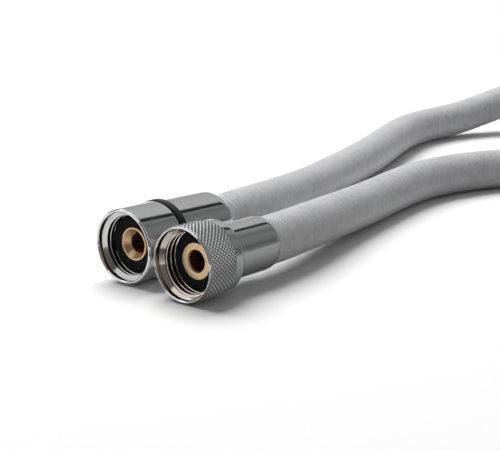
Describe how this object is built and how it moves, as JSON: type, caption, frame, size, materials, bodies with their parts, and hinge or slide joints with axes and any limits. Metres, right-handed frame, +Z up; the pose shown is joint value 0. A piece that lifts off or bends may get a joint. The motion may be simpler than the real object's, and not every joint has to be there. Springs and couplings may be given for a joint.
{
  "type": "shower hose",
  "caption": "Flexible textile-reinforced shower hose with a diamond-knurled chrome nut at one end and a smooth nut on a swivel at the other, its middle coiled on the table.",
  "frame": {"origin": "on the table, in the middle of the two end fittings lying side by side", "axes": "+Z up, -Y out of both mouths along the fittings, +X towards the knurled end"},
  "size_m": [0.2081, 0.4275, 0.0312],
  "materials": {
    "chrome": "polished",
    "brass": "turned",
    "spring_steel": "plain",
    "rubber": "matt",
    "black_plastic": "satin",
    "braided_hose": "satin, textile braid under a clear skin"
  },
  "bodies": {
    "hose": {"hose_run_a": "braided_hose", "hose_coil": "braided_hose", "hose_run_b": "braided_hose", "insert_a": "brass", "washer_a": "rubber", "ferrule_a": "chrome", "swivel_body": "brass", "crimp_ring": "spring_steel", "swivel_sleeve": "chrome", "circlip": "spring_steel"},
    "nut_a": {"knurled_nut": "chrome"},
    "spindle_b": {"swivel_nozzle": "brass", "washer_b": "rubber", "o_ring_front": "rubber", "o_ring_rear": "rubber", "slip_ring": "black_plastic"},
    "nut_b": {"smooth_nut": "chrome"}
  },
  "joints": [
    {"name": "nut_a_spin", "type": "hinge", "parent": "hose", "child": "nut_a", "pos_m": [0.01395, -0.01505, 0.0118], "axis": [0, 1, 0], "continuous": true},
    {"name": "swivel_spin", "type": "hinge", "parent": "hose", "child": "spindle_b", "pos_m": [-0.01365, 0.005, 0.0121], "axis": [0, 1, 0], "continuous": true},
    {"name": "nut_b_spin", "type": "hinge", "parent": "spindle_b", "child": "nut_b", "pos_m": [-0.01365, -0.012, 0.0121], "axis": [0, 1, 0], "continuous": true}
  ]
}
